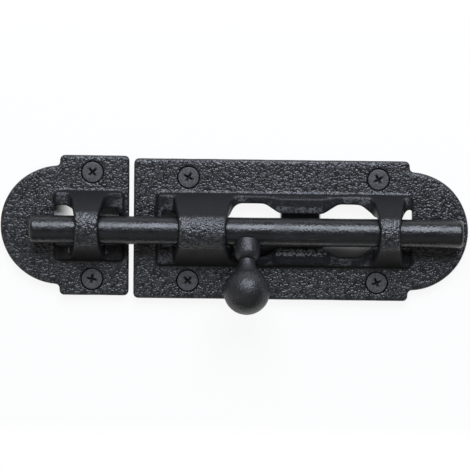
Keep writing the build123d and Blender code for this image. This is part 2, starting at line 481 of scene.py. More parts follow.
class CastSkin:
    """Geometry node group that hammers and waves the skin of a piece and marks where it did.

    Its inputs are named after the skin sizes. Spans are limits between which a mask eases in.
    """

    CELL_SHARE = 0.55
    CLOUD_SPAN = (0.28, 0.72)
    CLOUD_DETAIL = 2.0
    STONE_SPAN = (0.15, 0.75)
    WAVE_DETAIL = 1.5
    WAVE_LEVEL = 0.5
    SLOPE_PEBBLES = 0.12
    UP_SPAN = (0.45, 0.88)
    OUTER_SPAN = (-0.6, -0.2)
    PLATE_BLUR = 0.6 * MM
    CREST_BLUR = 2.6 * MM
    LEDGE_HALF = 0.45 * MM

    def __init__(self) -> None:
        """Build the group once."""
        numbers = {size.name: 1.0 for size in fields(SkinSizes)}
        inputs = {"Geometry": Kind.GEOMETRY, **numbers, "Material": Kind.MATERIAL}
        self.sketch, self.given = open_group("cast_skin", inputs, "Geometry")
        self.place = self.sketch.add("GeometryNodeInputPosition").outputs[0]
        self.normal = self.sketch.add("GeometryNodeInputNormal").outputs[0]
        self.facing = self.sketch.parts(self.normal)["Z"]
        self.up = self.sketch.ease(self.facing, *self.UP_SPAN)
        self._draw()

    def _draw(self) -> None:
        """Lay out the nodes of the group."""
        s, given = self.sketch, self.given
        pebbles = self._pebbles()
        hammered = self._hammered()
        wave_scale = s.math("DIVIDE", 1.0, given["wave"])
        waves = s.noise(self.place, wave_scale, self.WAVE_DETAIL, given["seed"])
        outer = s.ease(self.facing, *self.OUTER_SPAN)
        sunk = s.product(s.math("SUBTRACT", 1.0, pebbles), s.product(hammered, given["pebble_depth"]))
        low = s.product(s.math("SUBTRACT", self.WAVE_LEVEL, waves), s.product(outer, given["wave_depth"]))
        rise = s.product(s.math("ADD", sunk, low), -1.0)
        offset = s.vector("SCALE", self.normal, rise)
        skin = s.add("GeometryNodeSetPosition", {"Geometry": given["Geometry"], "Offset": offset}).outputs[0]
        marks = {Mark.HAMMERED: hammered, Mark.RELIEF: pebbles, Mark.SILL: self._ledges()}
        for name, value in marks.items():
            inputs = {"Geometry": skin, "Name": name.value, "Value": value}
            skin = s.add("GeometryNodeStoreNamedAttribute", inputs).outputs[0]
        smooth = s.add("GeometryNodeSetShadeSmooth", {"Geometry": skin}).outputs[0]
        close_dressed(s, smooth, given["Material"])

    def _pebbles(self) -> Socket:
        """Height of the pebbled skin from 0 to 1.

        Returns:
            The height's socket.
        """
        s, given = self.sketch, self.given
        shrink = s.math("DIVIDE", 1.0, given["stretch"])
        squeeze = s.add("ShaderNodeCombineXYZ", {"X": shrink, "Y": 1.0, "Z": 1.0}).outputs[0]
        along = s.vector("MULTIPLY", self.place, squeeze)
        scale = s.math("DIVIDE", 1.0, given["pebble"])
        clouds = s.ease(s.noise(along, scale, self.CLOUD_DETAIL, given["seed"]), *self.CLOUD_SPAN)
        stones = s.ease(s.cells(along, scale), *self.STONE_SPAN, 1.0, 0.0)
        return s.math("ADD", s.product(stones, self.CELL_SHARE), s.product(clouds, 1.0 - self.CELL_SHARE))

    def _hammered(self) -> Socket:
        """Share of pebbles on each point: full on the plate and the crests, little on the slopes.

        Returns:
            The share's socket.
        """
        s, given = self.sketch, self.given
        height = s.parts(self.place)["Z"]
        off_plate = s.math("SUBTRACT", height, given["plate"])
        to_crest = s.math("SUBTRACT", height, given["crest"])
        leaves_plate = s.ease(off_plate, 0.0, self.PLATE_BLUR)
        below_crest = s.ease(to_crest, -self.CREST_BLUR, 0.0, 1.0, 0.0)
        slope = s.product(leaves_plate, below_crest)
        return s.product(self.up, s.between(slope, 1.0, self.SLOPE_PEBBLES))

    def _ledges(self) -> Socket:
        """1 on the level rough ledges: the sills, and the inner strip of the flange tips.

        Returns:
            The mask's socket.
        """
        s, given = self.sketch, self.given
        parts = s.parts(self.place)
        inner = s.math("LESS_THAN", s.math("ABSOLUTE", parts["Y"]), given["tip_reach"])
        on_sill = s.math("COMPARE", parts["Z"], given["sill"], self.LEDGE_HALF)
        on_tip = s.math("COMPARE", parts["Z"], given["tip"], self.LEDGE_HALF)
        return s.product(s.math("MAXIMUM", on_sill, s.product(on_tip, inner)), self.up)

    def put_on(self, piece: Piece, sizes: SkinSizes, finish: Material) -> None:
        """Give a piece with an even, fine mesh its skin and finish."""
        run_tree(piece, self.sketch.tree, {**asdict(sizes), "Material": finish})


class Effects:
    """Shader groups that more than one finish uses. Spans are limits between which a mask eases in."""

    CLOUD_SHARE = 0.6
    CLOUD_DETAIL = 3.0
    STONE_SHARE = 0.4
    STONE_SPAN = (0.1, 0.8)
    TONE_SCALE = 0.12
    TONE_SPAN = (0.35, 0.65)
    STREAK_DETAIL = 4.0
    STREAK_SPAN = (0.5, 0.72)
    PATCH_SCALE = 0.05
    PATCH_DETAIL = 2.0
    PATCH_SPAN = (0.4, 0.62)
    SPECK_DETAIL = 4.0
    SPECK_SPAN = (0.5, 0.75)
    UP_SPAN = (0.5, 1.0)

    def __init__(self) -> None:
        """Build each group once."""
        self.grain = self._grain()
        self.scuffs = self._scuffs()
        self.dust = self._dust()

    @staticmethod
    def _start(name: str, more: dict[str, Feed], *outputs: str) -> tuple[Sketch, Sockets, Socket, Socket]:
        """Start a group that has a feature size and a seed.

        Args:
            name: Name of the group.
            more: Default values of its other inputs by name.
            outputs: Names of its outputs.

        Returns:
            A sketch of the group, its inputs, the place on the object and the features' scale.
        """
        s, given = open_group(name, {"Size": MM, **more, "Seed": 0.0}, *outputs)
        return s, given, s.here(), s.math("DIVIDE", 1.0, given["Size"])

    def _grain(self) -> Tree:
        """Pebbly coat: its height, and a slower tone that lightens patches of it.

        Returns:
            The group.
        """
        stretch = {"Stretch": (1.0, 1.0, 1.0)}
        s, given, place, scale = self._start("coat_grain", stretch, "Height", "Tone")
        along = s.vector("DIVIDE", place, given["Stretch"])
        clouds = s.noise(along, scale, self.CLOUD_DETAIL, given["Seed"])
        stones = s.ease(s.cells(along, scale), *self.STONE_SPAN, 1.0, 0.0)
        height = s.math("ADD", s.product(clouds, self.CLOUD_SHARE), s.product(stones, self.STONE_SHARE))
        slow = s.noise(place, s.product(scale, self.TONE_SCALE), self.CLOUD_DETAIL, given["Seed"])
        s.add("NodeGroupOutput", {"Height": height, "Tone": s.ease(slow, *self.TONE_SPAN)})
        return s.tree

    def _scuffs(self) -> Tree:
        """Rubbed streaks along the direction in which the stretch is long.

        Returns:
            The group.
        """
        stretch = {"Stretch": (12.0, 1.0, 1.0)}
        s, given, place, scale = self._start("rubbed_streaks", stretch, "Mask")
        along = s.vector("DIVIDE", place, given["Stretch"])
        streaks = s.ease(s.noise(along, scale, self.STREAK_DETAIL, given["Seed"]), *self.STREAK_SPAN)
        slow = s.noise(place, s.product(scale, self.PATCH_SCALE), self.PATCH_DETAIL, given["Seed"])
        s.add("NodeGroupOutput", {"Mask": s.product(streaks, s.ease(slow, *self.PATCH_SPAN))})
        return s.tree

    def _dust(self) -> Tree:
        """Fine grey dust that settles on faces that look up.

        Returns:
            The group.
        """
        s, given, place, scale = self._start("settled_dust", {"Amount": 0.3}, "Mask")
        normal = s.add("ShaderNodeNewGeometry").outputs["Normal"]
        up = s.ease(s.parts(normal)["Z"], *self.UP_SPAN)
        specks = s.ease(s.noise(place, scale, self.SPECK_DETAIL, given["Seed"]), *self.SPECK_SPAN)
        s.add("NodeGroupOutput", {"Mask": s.product(up, specks, given["Amount"])})
        return s.tree


def blank_tree(owner: bpy.types.ID) -> Tree:
    """Empty the node tree of a material or world.

    Args:
        owner: Material or world.

    Returns:
        Its tree.
    """
    owner.use_nodes = True
    owner.node_tree.nodes.clear()
    return owner.node_tree


class FinishSketch(Sketch):
    """Sketch of a material with one Principled shader."""

    def __init__(self, name: str) -> None:
        """Make the material and its shader under this name."""
        self.material = bpy.data.materials.new(name)
        super().__init__(blank_tree(self.material))
        self.shader = self.add("ShaderNodeBsdfPrincipled")
        self.add("ShaderNodeOutputMaterial", {"Surface": self.shader.outputs[0]})

    def effect(self, group: Tree, **inputs: Feed) -> Sockets:
        """Place a shared effect with its own values and give its outputs."""
        return self.add("ShaderNodeGroup", inputs, node_tree=group).outputs

    def dress(self, tone: Feed, roughness: Feed, specular: Feed, height: Feed, bump: float) -> Material:
        """Feed the shader.

        Args:
            tone: Colour of the coat.
            roughness: Its roughness.
            specular: Strength of its reflections.
            height: Height of its grain from 0 to 1.
            bump: Depth of that grain.

        Returns:
            The finished material.
        """
        uneven = self.add("ShaderNodeBump", {"Strength": 1.0, "Distance": bump, "Height": height}).outputs[0]
        looks = {"Base Color": tone, "Roughness": roughness, "Specular IOR Level": specular, "Normal": uneven}
        for name, value in looks.items():
            self.feed(self.shader.inputs[name], value)
        return self.material


@dataclass(frozen=True)
class CastCoat:
    """Black coat on sand-cast iron: pebbled on the flats, smoother on the slopes, with light painted on the
    sills.

    The tips of the stop flange on the knob's side, above the painted light height, are palest: light painted
    on ledges that the bar shades. Painted shade darkens the countersinks, as far as its reach from each
    screw's axis.
    """

    name: str = "black_cast_coat"
    deep: Triple = (0.009, 0.009, 0.010)
    lit: Triple = (0.045, 0.046, 0.050)
    lit_span: Pair = (0.3, 0.7)
    slope: Triple = (0.013, 0.013, 0.014)
    # Pale tone of the level ledges: painted light, laid on in random patches.
    sill: Triple = (0.085, 0.085, 0.089)
    sill_span: Pair = (0.3, 0.6)
    worn_size: float = 7.0 * MM
    worn_span: Pair = (0.42, 0.58)
    worn_detail: float = 1.0
    worn_seed: float = 2.0
    # Palest tone of the knob-side flange tips: painted light on ledges that the bar shades.
    rubbed: Triple = (0.26, 0.26, 0.27)
    rubbed_side: float = -6.0 * MM
    rubbed_height: float = 7.2 * MM
    # Near-black tone in the countersinks round the screw heads: painted shade.
    soot: Triple = (0.002, 0.002, 0.002)
    soot_reach: float = 5.1 * MM
    soot_blur: float = 0.35 * MM
    dust: Triple = (0.16, 0.16, 0.17)
    dust_size: float = 0.8 * MM
    dust_amount: float = 0.22
    dust_seed: float = 5.0
    grain: float = 0.8 * MM
    grain_stretch: Triple = (1.3, 1.0, 1.0)
    grain_seed: float = 3.0
    bump: float = 0.45 * MM
    slope_bump: float = 0.12
    smoothest: float = 0.24
    roughest: float = 0.32
    sill_roughness: float = 0.2
    slope_roughness: float = 0.16
    specular: float = 0.6
    slope_specular: float = 0.18

    def make(self, effects: Effects) -> Material:
        """Build the material.

        Args:
            effects: Shared shader groups.

        Returns:
            The material.
        """
        s = FinishSketch(self.name)
        place = s.here()
        hammered = s.mark(Mark.HAMMERED)
        grain = s.effect(effects.grain, Size=self.grain, Stretch=self.grain_stretch, Seed=self.grain_seed)
        dust = s.effect(effects.dust, Size=self.dust_size, Amount=self.dust_amount, Seed=self.dust_seed)
        raised = s.product(s.math("ADD", s.mark(Mark.RELIEF), grain["Height"]), 0.5)
        skin = s.blend(s.ease(raised, *self.lit_span), self.deep, self.lit)
        rubbed = self._rubbed(s, place)
        # Painted light on the ledges: random patches, and all of the knob-side flange tips.
        light_patches = s.noise(place, 1 / self.worn_size, self.worn_detail, self.worn_seed)
        painted_light_share = s.math("MAXIMUM", rubbed, s.ease(light_patches, *self.worn_span))
        painted_light_patch = s.product(s.mark(Mark.SILL), painted_light_share, s.ease(grain["Height"], *self.sill_span))
        # Painted shade in the countersinks, with less shine there.
        off_screws = self._off_screws(s, place)
        painted_shade_mask = s.ease(off_screws, self.soot_reach - self.soot_blur, self.soot_reach, 1.0, 0.0)
        tone = s.blend(hammered, self.slope, skin)
        tone = s.blend(painted_light_patch, tone, s.blend(rubbed, self.sill, self.rubbed))
        tone = s.blend(dust["Mask"], tone, self.dust)
        tone = s.blend(painted_shade_mask, tone, self.soot)
        slope_rough = s.between(hammered, self.slope_roughness, 0.0)
        added = s.math("MAXIMUM", slope_rough, s.product(painted_light_patch, self.sill_roughness))
        rough = s.math("ADD", s.between(grain["Tone"], self.smoothest, self.roughest), added)
        shine = s.between(hammered, self.slope_specular, self.specular)
        specular = s.product(shine, s.math("SUBTRACT", 1.0, painted_shade_mask))
        height = s.product(grain["Height"], s.between(hammered, self.slope_bump, 1.0))
        return s.dress(tone, rough, specular, height, self.bump)

    def _rubbed(self, s: Sketch, place: Feed) -> Socket:
        """1 on the tip of the stop flange on the knob's side, where light is painted on.

        Args:
            s: Sketch of the material.
            place: Coordinates.

        Returns:
            The mask's socket.
        """
        parts = s.parts(place)
        knob_side = s.math("LESS_THAN", parts["Y"], self.rubbed_side)
        return s.product(knob_side, s.math("GREATER_THAN", parts["Z"], self.rubbed_height))

    @staticmethod
    def _off_screws(s: Sketch, place: Feed) -> Socket:
        """Distance across the plate from the nearest screw's axis.

        Args:
            s: Sketch of the material.
            place: Coordinates.

        Returns:
            The distance's socket.
        """
        distances = []
        for mount in frame["record"]["mounts"]:
            off = s.vector("ABSOLUTE", s.vector("SUBTRACT", place, tuple(mount["pos_m"])))
            from_axis = s.vector("SUBTRACT", off, (*half_spacing(mount), 0.0))
            distances.append(s.vector("LENGTH", s.vector("MULTIPLY", from_axis, (1.0, 1.0, 0.0))))
        return s.math("MINIMUM", *distances)


@dataclass(frozen=True)
class SatinCoat:
    """Satin black coat on turned steel, with streaks where rubbing has thinned it."""

    name: str
    base: Triple = (0.007, 0.007, 0.008)
    # Tone of the streaks where rubbing has thinned the coat.
    rubbed: Triple = (0.035, 0.036, 0.039)
    grain: float = 0.95 * MM
    bump: float = 0.12 * MM
    streak: float = 0.35 * MM
    stretch: Triple = (14.0, 1.0, 1.0)
    smoothest: float = 0.27
    roughest: float = 0.38
    specular: float = 0.60
    seed: float = 1.0

    def make(self, effects: Effects) -> Material:
        """Build the material.

        Args:
            effects: Shared shader groups.

        Returns:
            The material.
        """
        s = FinishSketch(self.name)
        grain = s.effect(effects.grain, Size=self.grain, Seed=self.seed)
        streaks = s.effect(effects.scuffs, Size=self.streak, Stretch=self.stretch, Seed=self.seed)
        tone = s.blend(streaks["Mask"], self.base, self.rubbed)
        rough = s.between(grain["Tone"], self.smoothest, self.roughest)
        return s.dress(tone, rough, self.specular, grain["Height"], self.bump)


@dataclass(frozen=True)
class ScrewSteel:
    """Dark plated steel of the screws, dull and slightly mottled, with painted shade in the recesses."""

    name: str = "dark_screw_steel"
    base: Triple = (0.055, 0.055, 0.058)
    pale: Triple = (0.100, 0.100, 0.105)
    pale_span: Pair = (0.3, 0.7)
    # Darker tone down in each head's rim and recess: painted shade.
    soot: Triple = (0.018, 0.018, 0.019)
    soot_span: Pair = (0.3 * MM, 1.4 * MM)
    soot_depth: float = 2.2 * MM
    dust: Triple = (0.16, 0.16, 0.165)
    dust_size: float = 1.2 * MM
    dust_amount: float = 0.3
    dust_seed: float = 9.0
    grain: float = 0.6 * MM
    grain_seed: float = 8.0
    bump: float = 0.03 * MM
    smoothest: float = 0.42
    roughest: float = 0.55
    specular: float = 0.5
    soot_specular: float = 0.2

    def make(self, effects: Effects) -> Material:
        """Build the material.

        Args:
            effects: Shared shader groups.

        Returns:
            The material.
        """
        s = FinishSketch(self.name)
        grain = s.effect(effects.grain, Size=self.grain, Seed=self.grain_seed)
        dust = s.effect(effects.dust, Size=self.dust_size, Amount=self.dust_amount, Seed=self.dust_seed)
        # Painted shade: darker and duller with depth below the head's top.
        depth = s.math("SUBTRACT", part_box("plate_screws")[1].z, s.parts(s.here())["Z"])
        in_head = s.math("LESS_THAN", depth, self.soot_depth)
        painted_shade_mask = s.product(in_head, s.ease(depth, *self.soot_span))
        tone = s.blend(s.ease(grain["Height"], *self.pale_span), self.base, self.pale)
        tone = s.blend(dust["Mask"], tone, self.dust)
        tone = s.blend(painted_shade_mask, tone, self.soot)
        rough = s.between(grain["Tone"], self.smoothest, self.roughest)
        specular = s.between(painted_shade_mask, self.specular, self.soot_specular)
        return s.dress(tone, rough, specular, grain["Height"], self.bump)


@dataclass
class CastPlate:
    """One casting: a plate with its hump, straps and windows."""

    node: str
    name: str
    voxel: float
    seed: float
    plate_top: float = 4.5 * MM
    plate_lift: float = 0.15 * MM
    strap_drop: float = 1.6 * MM
    sill_rise: float = 2.0 * MM
    tip_rise: float = 3.3 * MM
    tip_reach: float = 10.4 * MM
    softening: int = 9

    def build(self, skin: CastSkin, finish: Material) -> None:
        """Make the casting's mesh and dress it.

        Args:
            skin: Group that roughens the surface.
            finish: Material of the casting.
        """
        sizes = SkinSizes(
            pebble=1.45 * MM,
            pebble_depth=0.34 * MM,
            wave=11.0 * MM,
            wave_depth=0.35 * MM,
            stretch=1.2,
            plate=self.plate_top + self.plate_lift,
            sill=self.plate_top + self.sill_rise,
            tip=self.plate_top + self.tip_rise,
            tip_reach=self.tip_reach,
            crest=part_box(self.node)[1].z - self.strap_drop,
            seed=self.seed,
        )
        piece = even_mesh(merged_copy(self.node, self.name), self.voxel, self.softening)
        skin.put_on(piece, sizes, finish)
        hand_over(piece, self.node, Body.BASE)


@dataclass
class BoltBar:
    """Round bar that slides through the straps."""

    node: str = "bolt_rod"
    name: str = "bolt_bar"
    chamfer: float = 0.9 * MM
    ring_step: float = 0.8 * MM
    segments: int = 96
    surface: SkinSizes = SkinSizes(
        pebble=2.0 * MM, pebble_depth=0.0, wave=3.0 * MM, wave_depth=0.06 * MM, stretch=2.0, seed=21.0
    )

    def build(self, skin: CastSkin, finish: Material) -> None:
        """Turn the bar and dress it.

        Args:
            skin: Group that waves the coat.
            finish: Material of the bar.
        """
        low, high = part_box(self.node)
        length = high.x - low.x
        radius = (high.z - low.z) / 2
        straight = length - 2 * self.chamfer
        steps = round(straight / self.ring_step)
        profile = [(0.0, 0.0), (radius - self.chamfer, 0.0)]
        profile += [(radius, self.chamfer + straight * i / steps) for i in range(steps + 1)]
        profile += [(radius - self.chamfer, length), (0.0, length)]
        end = Matrix.Translation((low.x, 0, (low.z + high.z) / 2))
        piece = turned(self.name, profile, self.segments, end @ Matrix.Rotation(math.pi / 2, 4, "Y"))
        skin.put_on(piece, self.surface, finish)
        hand_over(piece, self.node, Body.BOLT)


def arc(middle: Pair, radius: float, start: float, end: float, steps: int) -> Profile:
    """Points of an arc in a flat profile.

    Args:
        middle: Centre of the arc.
        radius: Its radius.
        start: Angle of the first point.
        end: Angle of the last point.
        steps: Number of steps between them.

    Returns:
        The points.
    """
    angles = [start + (end - start) * i / steps for i in range(steps + 1)]
    return [(middle[0] + radius * math.cos(angle), middle[1] + radius * math.sin(angle)) for angle in angles]


@dataclass
class KnobSet:
    """Ball knob with a hollow sweep from neck to ball, and the blunt collar that seats it on the bar.

    Reaches are distances from the bar's axis along the knob.
    """

    knob: str = "knob"
    collar: str = "knob_collar"
    knob_voxel: float = 0.26 * MM
    knob_seed: float = 32.0
    collar_voxel: float = 0.2 * MM
    collar_seed: float = 31.0
    softening: int = 2
    segments: int = 96
    arc_steps: int = 40
    spigot_radius: float = 2.3 * MM
    spigot_reach: float = 6.4 * MM
    neck_radius: float = 3.4 * MM
    neck_reach: float = 12.45 * MM
    flare_reach: float = 12.95 * MM
    rim_reach: float = 4.2 * MM
    surface: SkinSizes = SkinSizes(pebble=2.4 * MM, pebble_depth=0.0, wave=3.2 * MM, wave_depth=0.16 * MM)
    pivot: Vector = field(init=False)
    way: Vector = field(init=False)
    ball_radius: float = field(init=False)
    ball_reach: float = field(init=False)

    def __post_init__(self) -> None:
        """Take the ball and the knob's direction from the frame."""
        low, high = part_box(self.knob)
        joint = next(j for j in frame["record"]["behaviour"]["joints"] if j["child"] == Body.KNOB.value)
        self.pivot = Vector(joint["pos_m"])
        self.ball_radius = (high.x - low.x) / 2
        middle = Vector((self.pivot.x, low.y + self.ball_radius, high.z - self.ball_radius))
        self.ball_reach = (middle - self.pivot).length
        self.way = (middle - self.pivot).normalized()

    def profile(self) -> Profile:
        """Half section of the knob, with the sweep tangent to the neck and to the ball.

        Returns:
            (radius, reach) points from the spigot to the top of the ball.
        """
        neck, ball, steps = self.neck_radius, self.ball_radius, self.arc_steps
        rise = self.ball_reach - self.flare_reach
        flare = (rise**2 - ball**2 + neck**2) / (2 * (ball - neck))
        meet = math.atan2(rise, neck + flare)
        points = [(0.0, self.spigot_reach)]
        points += [(self.spigot_radius, reach) for reach in (self.spigot_reach, self.neck_reach)]
        points += [(neck, self.neck_reach)]
        points += arc((neck + flare, self.flare_reach), flare, math.pi, math.pi - meet, steps)
        points += arc((0.0, self.ball_reach), ball, -meet, math.pi / 2, steps)[1:-1]
        return points + [(0.0, self.ball_reach + ball)]

    def turned_knob(self) -> Piece:
        """Turn the knob and set it on its direction."""
        laid = Matrix.Translation(self.pivot) @ self.way.to_track_quat("Z", "Y").to_matrix().to_4x4()
        return turned("ball_knob", self.profile(), self.segments, laid)

    def blunt_collar(self) -> Piece:
        """Copy the collar and trim the tips of its saddle to a level rim.

        Returns:
            The collar's smooth form.
        """
        piece = merged_copy(self.collar, "saddle_collar")
        for point in piece.data.vertices:
            short = self.rim_reach - (point.co - self.pivot).dot(self.way)
            point.co += max(short, 0.0) * self.way
        return piece

    def build(self, skin: CastSkin, finish: Material) -> None:
        """Make both pieces and dress them.

        Args:
            skin: Group that waves the coat.
            finish: Material of both pieces.
        """
        forms = (
            (self.collar, self.blunt_collar(), self.collar_voxel, self.collar_seed),
            (self.knob, self.turned_knob(), self.knob_voxel, self.knob_seed),
        )
        for node, form, voxel, seed in forms:
            piece = even_mesh(form, voxel, self.softening)
            skin.put_on(piece, replace(self.surface, seed=seed), finish)
            hand_over(piece, node, Body.KNOB)


@dataclass
class ScrewSet:
    """Flat-head wood screws of one casting, placed from the record's mount of the same name.

    Heights are counted from the back of the plates, and each turn is that of one screw's recess.
    """

    node: str
    name: str
    turns_deg: tuple[float, ...]
    segments: int = 64
    head_rim: float = 0.3 * MM
    head_slope: float = math.tan(math.radians(41.0))
    shank_radius: float = 2.5 * MM
    shank_end: float = 0.2 * MM
    core_radius: float = 1.7 * MM
    core_top: float = -0.4 * MM
    thread_radius: float = 2.3 * MM
    thread_top: float = -0.8 * MM
    thread_sides: int = 4
    thread_steps: int = 28
    point_length: float = 5.0 * MM
    point_turns: int = 3
    point_share: float = 0.08
    recess_reach: float = 2.5 * MM
    recess_half_slot: float = 0.6 * MM
    recess_depth: float = 1.9 * MM
    recess_taper: float = 0.35
    edge_wear: float = 0.09 * MM
    edge_steps: int = 2
    edge_angle_deg: float = 35.0
    low: Vector = field(init=False)
    high: Vector = field(init=False)
    places: list[Vector] = field(init=False)
    head_radius: float = field(init=False)

    def __post_init__(self) -> None:
        """Read the screws' places and the head's size from the frame."""
        self.low, self.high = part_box(self.node)
        mount = next(m for m in frame["record"]["mounts"] if m["name"] == self.node)
        middle = Vector(mount["pos_m"])
        across, up = half_spacing(mount)
        sides = (-1, 1) if across else (0,)
        self.places = [middle + Vector((x * across, y * up, 0)) for y in (1, -1) for x in sides]
        self.head_radius = self.high.x - max(place.x for place in self.places)

    def profile(self) -> Profile:
        """Half section of one screw without its thread.

        Returns:
            (radius, height) points from the tip to the middle of the head.
        """
        top = self.high.z
        rim_end = top - self.head_rim
        return [
            (0.0, self.low.z),
            (self.core_radius, self.low.z + self.point_length),
            (self.core_radius, self.core_top),
            (self.shank_radius, self.shank_end),
            (self.shank_radius, rim_end - (self.head_radius - self.shank_radius) / self.head_slope),
            (self.head_radius, rim_end),
            (self.head_radius - self.head_rim, top),
            (self.head_radius / 2, top),
            (0.0, top),
        ]

    def recess(self) -> Piece:
        """Cutter of the cross recess.

        Returns:
            The cutter as an object.
        """
        reach, half, top = self.recess_reach, self.recess_half_slot, self.high.z
        quarter = [(reach, -half), (reach, half), (half, half)]
        cross = [Matrix.Rotation(math.pi / 2 * i, 2) @ Vector(point) for i in range(4) for point in quarter]
        solid = bmesh.new()
        rings = []
        for height, share in ((top + MM, 1.0), (top, 1.0), (top - self.recess_depth, self.recess_taper)):
            rings.append([solid.verts.new((point.x * share, point.y * share, height)) for point in cross])
        for upper, lower in zip(rings, rings[1:]):
            for i in range(len(cross)):
                solid.faces.new((upper[i], upper[i - 1], lower[i - 1], lower[i]))
        solid.faces.new(rings[0])
        solid.faces.new(list(reversed(rings[-1])))
        bmesh.ops.recalc_face_normals(solid, faces=solid.faces)
        return to_object(solid, "recess_cutter")

    def thread_tree(self) -> Tree:
        """Geometry node group that winds a thread ridge on the core, down to the point.

        Returns:
            The group.
        """
        inputs = {
            "Geometry": Kind.GEOMETRY,
            "Core Radius": self.core_radius,
            "Ridge": self.thread_radius - self.core_radius,
            "Body Length": self.thread_top - (self.low.z + self.point_length),
            "Point Length": self.point_length,
            "Pitch": self.point_length / self.point_turns,
            "Tip Height": self.low.z,
        }
        s, given = open_group("screw_thread", inputs, "Geometry")
        circle = {"Resolution": self.thread_sides, "Radius": given["Ridge"]}
        ridge = s.add("GeometryNodeCurvePrimitiveCircle", circle).outputs[0]
        fine_end = s.product(given["Core Radius"], self.point_share)
        body_base = s.math("ADD", given["Tip Height"], given["Point Length"])
        spans = (
            (given["Point Length"], fine_end, given["Tip Height"]),
            (given["Body Length"], given["Core Radius"], body_base),
        )
        parts = [given["Geometry"]]
        for length, start, base in spans:
            winding = {
                "Resolution": self.thread_steps,
                "Rotations": s.math("DIVIDE", length, given["Pitch"]),
                "Start Radius": start,
                "End Radius": given["Core Radius"],
                "Height": length,
            }
            spiral = s.add("GeometryNodeCurveSpiral", winding).outputs[0]
            level = s.add("GeometryNodeSetCurveNormal", {"Curve": spiral}, mode="Z_UP").outputs[0]
            sweep = {"Curve": level, "Profile Curve": ridge, "Fill Caps": True}
            swept = s.add("GeometryNodeCurveToMesh", sweep).outputs[0]
            lift = s.add("ShaderNodeCombineXYZ", {"Z": base}).outputs[0]
            parts.append(s.add("GeometryNodeTransform", {"Geometry": swept, "Translation": lift}).outputs[0])
        joined = s.add("GeometryNodeJoinGeometry")
        for part in reversed(parts):
            s.feed(joined.inputs[0], part)
        s.add("NodeGroupOutput", {"Geometry": joined.outputs[0]})
        return s.tree

    @staticmethod
    def set_tree() -> Tree:
        """Geometry node group that stands one screw on each point, turned by the point's own angle.

        Returns:
            The group.
        """
        inputs = {"Geometry": Kind.GEOMETRY, "Screw": Kind.OBJECT, "Material": Kind.MATERIAL}
        s, given = open_group("screw_set", inputs, "Geometry")
        screw = s.add("GeometryNodeObjectInfo", {"Object": given["Screw"]}).outputs["Geometry"]
        turn = s.add("GeometryNodeInputNamedAttribute", {"Name": "turn"}, data_type="FLOAT").outputs[0]
        angles = s.add("ShaderNodeCombineXYZ", {"Z": turn}).outputs[0]
        rotation = s.add("FunctionNodeEulerToRotation", {"Euler": angles}).outputs[0]
        standing = {"Points": given["Geometry"], "Instance": screw, "Rotation": rotation}
        close_dressed(s, s.add("GeometryNodeInstanceOnPoints", standing).outputs[0], given["Material"])
        return s.tree

    def one_screw(self) -> Piece:
        """Make one screw on Z, with its recess and thread.

        Returns:
            The screw as an object.
        """
        screw = turned("wood_screw", self.profile(), self.segments, Matrix.Identity(4))
        cutter = self.recess()
        cut = screw.modifiers.new("recess", "BOOLEAN")
        cut.object = cutter
        cut.solver = "EXACT"
        soften = screw.modifiers.new("worn_edges", "BEVEL")
        soften.width = self.edge_wear
        soften.segments = self.edge_steps
        soften.limit_method = "ANGLE"
        soften.angle_limit = math.radians(self.edge_angle_deg)
        settle(screw)
        bpy.data.objects.remove(cutter)
        return run_tree(screw, self.thread_tree(), {})

    def build(self, finish: Material) -> None:
        """Make the whole set and dress it.

        Args:
            finish: Material of the screws.
        """
        mesh = bpy.data.meshes.new(self.name)
        mesh.from_pydata(self.places, [], [])
        angles = mesh.attributes.new("turn", "FLOAT", "POINT")
        angles.data.foreach_set("value", [math.radians(turn) for turn in self.turns_deg])
        piece = new_object(self.name, mesh)
        screw = self.one_screw()
        run_tree(piece, self.set_tree(), {"Screw": screw, "Material": finish})
        bpy.data.objects.remove(screw)
        hand_over(piece, self.node, Body.BASE)


@dataclass
class PhotoCamera:
    """Camera that looks at the latch as the photograph does, in a square image.

    The pixels of a millimetre hold on the plates' face, which lies the scale drop behind the target.
    """

    image_px: float = 470.0
    px_per_mm: float = 2.34
    scale_drop: float = 6.7 * MM
    distance: float = 1.0
    tilt_deg: float = 6.0
    roll_deg: float = 0.7
    sensor_mm: float = 36.0
    nearest: float = 0.05
    farthest: float = 50.0
    target: Vector = field(default_factory=lambda: Vector((-20.4 * MM, -1.5 * MM, 11.2 * MM)))

    def build(self) -> None:
        """Make the camera and let the scene use it."""
        data = bpy.data.cameras.new("photo_camera")
        data.sensor_width = self.sensor_mm
        seen_width = self.image_px / self.px_per_mm * MM
        data.lens = self.sensor_mm * (self.distance + self.scale_drop) / seen_width
        data.clip_start = self.nearest
        data.clip_end = self.farthest
        camera = new_object("photo_camera", data)
        tilt = math.radians(self.tilt_deg)
        facing = Matrix.Rotation(-tilt, 4, "X") @ Matrix.Rotation(math.radians(self.roll_deg), 4, "Z")
        back = Vector((0, math.sin(tilt), math.cos(tilt)))
        camera.matrix_world = Matrix.Translation(self.target + back * self.distance) @ facing
        bpy.context.scene.camera = camera


